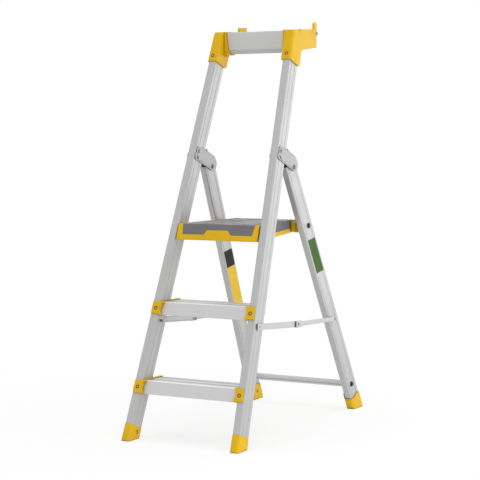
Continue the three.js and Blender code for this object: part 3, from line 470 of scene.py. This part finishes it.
# ---------------------------------------------------------------- bare stickers
def sticker(name, width, length, slant, thickness=0.0002, radius=0.002):
    """A thin film with rounded corners and slanting ends, lying in x and y with its face at the top."""
    mesh = bpy.data.meshes.new(name)
    shape = bmesh.new()
    outline = []
    for k, (x, y) in enumerate(((1, 1), (-1, 1), (-1, -1), (1, -1))):
        for turn in (0, 30, 60, 90):
            angle = math.radians(90 * k + turn)
            along = y * (length / 2 - radius) + radius * math.sin(angle)
            across = x * (width / 2 - radius) + radius * math.cos(angle)
            outline.append((across + slant * along, along))
    top = [shape.verts.new((x, y, thickness)) for x, y in outline]
    bottom = [shape.verts.new((x, y, 0)) for x, y in outline]
    shape.faces.new(top)
    shape.faces.new(bottom[::-1])
    for k in range(len(outline)):
        after = (k + 1) % len(outline)
        shape.faces.new((bottom[k], bottom[after], top[after], top[k]))
    shape.to_mesh(mesh)
    shape.free()
    return mesh


def stick(name, side, inset, back, down, material, facing, slant=0.28):
    """Puts a bare sticker on a leg's face, over a stretch back from the hinge axis and a stretch down."""
    width, length = down[1] - down[0], back[1] - back[0]
    mesh = sticker(name, width, length, slant if facing == "out" else -slant)
    place = on_leg(side, inset, sum(back) / 2, sum(down) / 2) @ FACING[facing]
    add_piece(name, mesh, place, "rear_frame", material)


stick("leg_sticker_green", 1, 0.0, (-0.033, 0.017), (0.271, 0.4), green_film, "out")
stick("leg_sticker_black", -1, LEG_WIDTH, (-0.034, 0.022), (0.328, 0.394), black_film, "in")
stick("leg_sticker_yellow", -1, LEG_WIDTH, (-0.034, 0.022), (0.395, 0.552), yellow_film, "in")


# ---------------------------------------------------------------- floor and world
def floor_white(name, colour, near, far, near_white):
    """Pale diffuse with the shadow near the object, and plain white to the background's rays further off."""
    m = Surface(name)
    m.tree.nodes.remove(m.principled)
    diffuse = m.feed(m.node("BsdfDiffuse"), Color=colour)
    glow = m.feed(m.node("Emission"), Color=grey(1), Strength=1.0)
    distance = m.node("VectorMath", operation="LENGTH")
    give(m.tree, m.node("NewGeometry").outputs["Position"], distance.inputs[0])
    white = m.remap(distance.outputs["Value"], near_white, 1.0, near, far)
    m.finish_with("Material Output", m.math("MULTIPLY", m.background_rays(), white), diffuse, glow)
    return m.material


bpy.ops.mesh.primitive_plane_add(size=60, location=(0, 0, 0))
floor = bpy.context.object
floor.name = "floor"
floor.data.materials.append(floor_white("floor_white", grey(0.96), near=0.7, far=1.5, near_white=0.76))

# The world lights the object softly, and is plain white to the background's rays.
world = bpy.data.worlds.new("studio")
bpy.context.scene.world = world
world.use_nodes = True
sky = Nodes(world.node_tree)
soft = sky.feed(world.node_tree.nodes["Background"], Color=grey(1), Strength=0.6)
plain = sky.feed(sky.node("Background"), Color=grey(1), Strength=1.0)
sky.finish_with("World Output", sky.background_rays(), soft, plain)


# ---------------------------------------------------------------- lamps and camera
def softbox(name, position, target, size, energy, mirrored_in_metal=False):
    lamp = bpy.data.lights.new(name, "AREA")
    lamp.shape = "RECTANGLE"
    lamp.size, lamp.size_y = size
    lamp.energy = energy
    made = bpy.data.objects.new(name, lamp)
    made.visible_glossy = mirrored_in_metal
    made.location = position
    made.rotation_mode = "QUATERNION"
    made.rotation_quaternion = (Vector(target) - Vector(position)).to_track_quat("-Z", "Y")
    bpy.context.collection.objects.link(made)


softbox("key_right", (4.2, -0.8, 1.0), target=(0, 0, 0.5), size=(2.6, 1.9), energy=55)
softbox("top", (0, -0.5, 7.5), target=(0, 0, 0.6), size=(6.4, 6.4), energy=232)
softbox("panel", (2.2, 3.4, 1.0), target=(0, 0, 0.6), size=(3.4, 3.4), energy=32, mirrored_in_metal=True)


def look(azimuth, pitch, roll, place):
    """A camera's matrix: turned from the +Y direction to the left, down and about its own line of sight."""
    forward = Vector((
        -math.sin(azimuth) * math.cos(pitch),
        math.cos(azimuth) * math.cos(pitch),
        -math.sin(pitch),
    ))
    level = Vector((math.cos(azimuth), math.sin(azimuth), 0))
    upright = level.cross(forward)
    right = level * math.cos(roll) + upright * math.sin(roll)
    up = upright * math.cos(roll) - level * math.sin(roll)
    rows = [(right[k], up[k], -forward[k], place[k]) for k in range(3)]
    return Matrix((*rows, (0, 0, 0, 1)))


camera_data = bpy.data.cameras.new("camera")
camera = bpy.data.objects.new("camera", camera_data)
bpy.context.collection.objects.link(camera)
camera_data.sensor_width = 36
camera_data.lens = 116.5
camera_data.shift_x = -0.0051
camera_data.shift_y = 0.0137
turns = (math.radians(angle) for angle in (29.03, 4.48, -0.33))
camera.matrix_world = look(*turns, place=(2.532, -4.5983, 1.0146))
bpy.context.scene.camera = camera
bpy.context.scene.view_settings.view_transform = "Standard"
